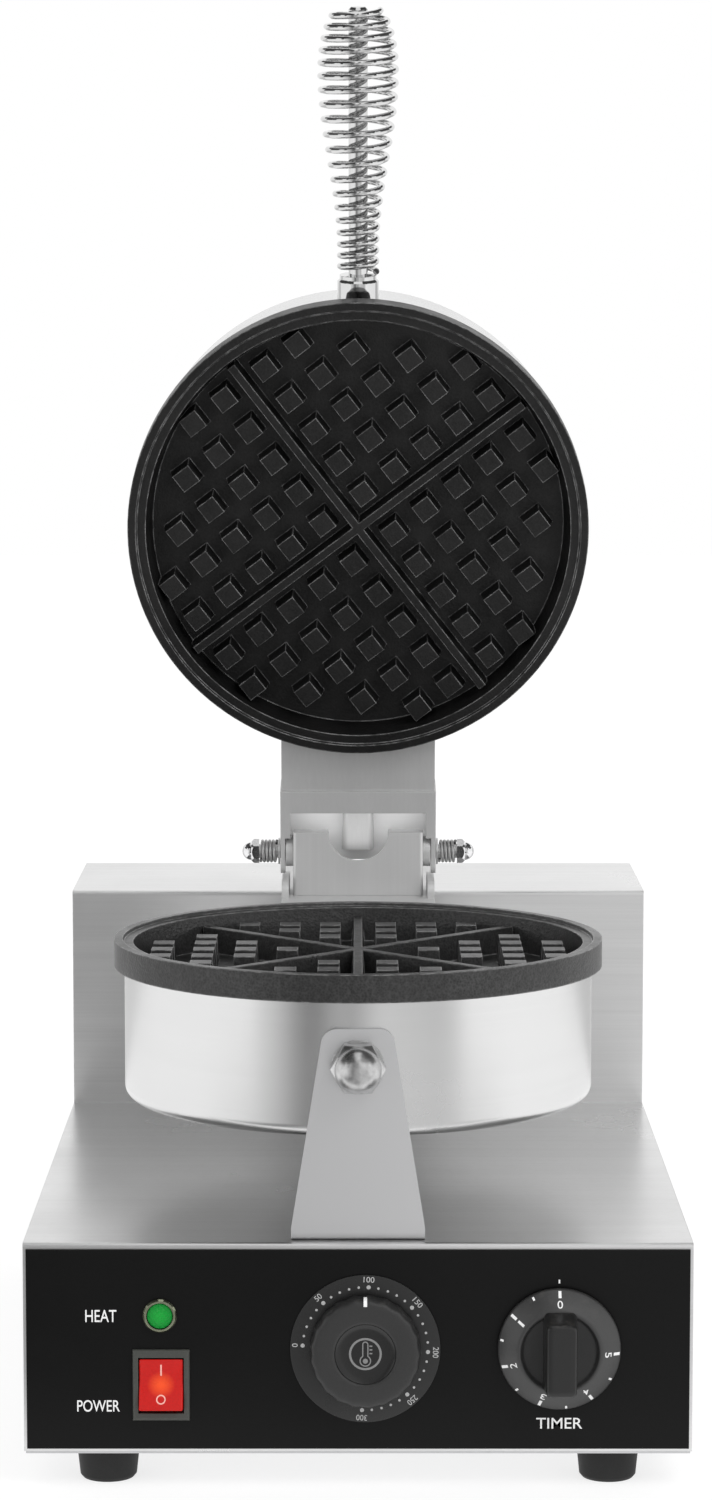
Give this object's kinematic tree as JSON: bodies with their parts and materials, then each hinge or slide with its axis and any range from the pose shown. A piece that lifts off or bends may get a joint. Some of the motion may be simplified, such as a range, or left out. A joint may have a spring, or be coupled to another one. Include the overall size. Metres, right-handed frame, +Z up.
{
  "type": "waffle maker",
  "caption": "Counter-top waffle maker: folded steel base with knobs and a rocker switch, fixed round lower plate, and an upper plate that swings shut on a sprung hinge by a coiled handle.",
  "frame": {"origin": "under the middle of the machine, on the surface that its feet stand on", "axes": "+Z up, +X to the right of a person facing the control panel, +Y to the back"},
  "size_m": [0.25, 0.4, 0.5634],
  "materials": {
    "steel_shell": "fine straight brushing",
    "panel_black": "satin black facing",
    "cover_steel": "mill finish",
    "black_rubber": "matte",
    "fastener_steel": "zinc plated",
    "drum_steel": "turned, satin",
    "plate_iron": "seasoned cast iron with a non-stick coat",
    "bracket_steel": "satin",
    "polished_steel": "polished",
    "hinge_steel": "satin",
    "spring_steel": "bright wire",
    "handle_chrome": "chromed wire",
    "knob_black": "satin black thermoset",
    "scale_black": "printed disc",
    "bezel_grey": "dark grey moulding",
    "rocker_red": "translucent red, lit from inside",
    "lamp_green": "translucent green, faceted",
    "inner_plastic": "moulded",
    "heater_sheath": "oxidised sheath",
    "mineral_wool": "felted"
  },
  "bodies": {
    "base": {"base_shell": "steel_shell", "control_panel": "panel_black", "bottom_plate": "cover_steel", "rear_cover": "cover_steel", "rubber_feet": "black_rubber", "foot_screws": "fastener_steel", "foot_nuts": "fastener_steel", "bottom_plate_screws": "fastener_steel", "rear_cover_screws": "fastener_steel", "frame_screws": "fastener_steel", "cable_gland": "black_rubber", "gland_nut": "black_rubber", "terminal_block": "inner_plastic", "lamp_ring": "polished_steel", "lamp_lens": "lamp_green", "lamp_body": "inner_plastic", "switch_housing": "bezel_grey", "thermostat_body": "inner_plastic", "thermostat_scale": "scale_black", "timer_body": "inner_plastic", "lower_plate": "plate_iron", "lower_drum": "drum_steel", "lower_element": "heater_sheath", "lower_insulation": "mineral_wool", "wire_conduit": "cover_steel", "thermostat_bulb": "spring_steel", "front_bracket": "bracket_steel", "drum_stud": "fastener_steel", "bracket_washer": "polished_steel", "bracket_nut": "polished_steel", "hinge_bridge": "hinge_steel", "drum_bolts": "fastener_steel", "drum_spacers": "fastener_steel", "hinge_bracket": "hinge_steel", "hinge_bolts": "fastener_steel", "hinge_spacers": "fastener_steel", "hinge_washers": "fastener_steel", "hinge_springs": "spring_steel", "hinge_cap_nuts": "polished_steel"},
    "lid": {"upper_plate": "plate_iron", "upper_drum": "drum_steel", "upper_element": "heater_sheath", "upper_insulation": "mineral_wool", "lid_arm": "hinge_steel", "lid_arm_bolts": "fastener_steel", "hinge_yoke": "hinge_steel", "yoke_rivets": "fastener_steel", "lid_arm_cover": "hinge_steel", "arm_cover_screws": "fastener_steel", "wire_duct": "hinge_steel", "handle_ferrule": "handle_chrome", "handle_rod": "handle_chrome", "handle_coil": "handle_chrome", "handle_nut": "fastener_steel"},
    "thermostat_dial": {"thermostat_knob": "knob_black", "thermostat_spindle": "fastener_steel"},
    "timer_dial": {"timer_knob": "knob_black", "timer_spindle": "fastener_steel"},
    "rocker_key": {"rocker_switch": "rocker_red"}
  },
  "joints": [
    {"name": "lid_hinge", "type": "hinge", "parent": "base", "child": "lid", "pos_m": [0, 0.0653, 0.2092], "axis": [1, 0, 0], "range_deg": [0, 80]},
    {"name": "thermostat_turn", "type": "hinge", "parent": "base", "child": "thermostat_dial", "pos_m": [0.0027, -0.178, 0.0539], "axis": [0, 1, 0], "range_deg": [-90, 180]},
    {"name": "timer_turn", "type": "hinge", "parent": "base", "child": "timer_dial", "pos_m": [0.075, -0.178, 0.0542], "axis": [0, 1, 0], "range_deg": [0, 266]},
    {"name": "rocker_tilt", "type": "hinge", "parent": "base", "child": "rocker_key", "pos_m": [-0.0735, -0.178, 0.04], "axis": [1, 0, 0], "range_deg": [0, 24]}
  ]
}
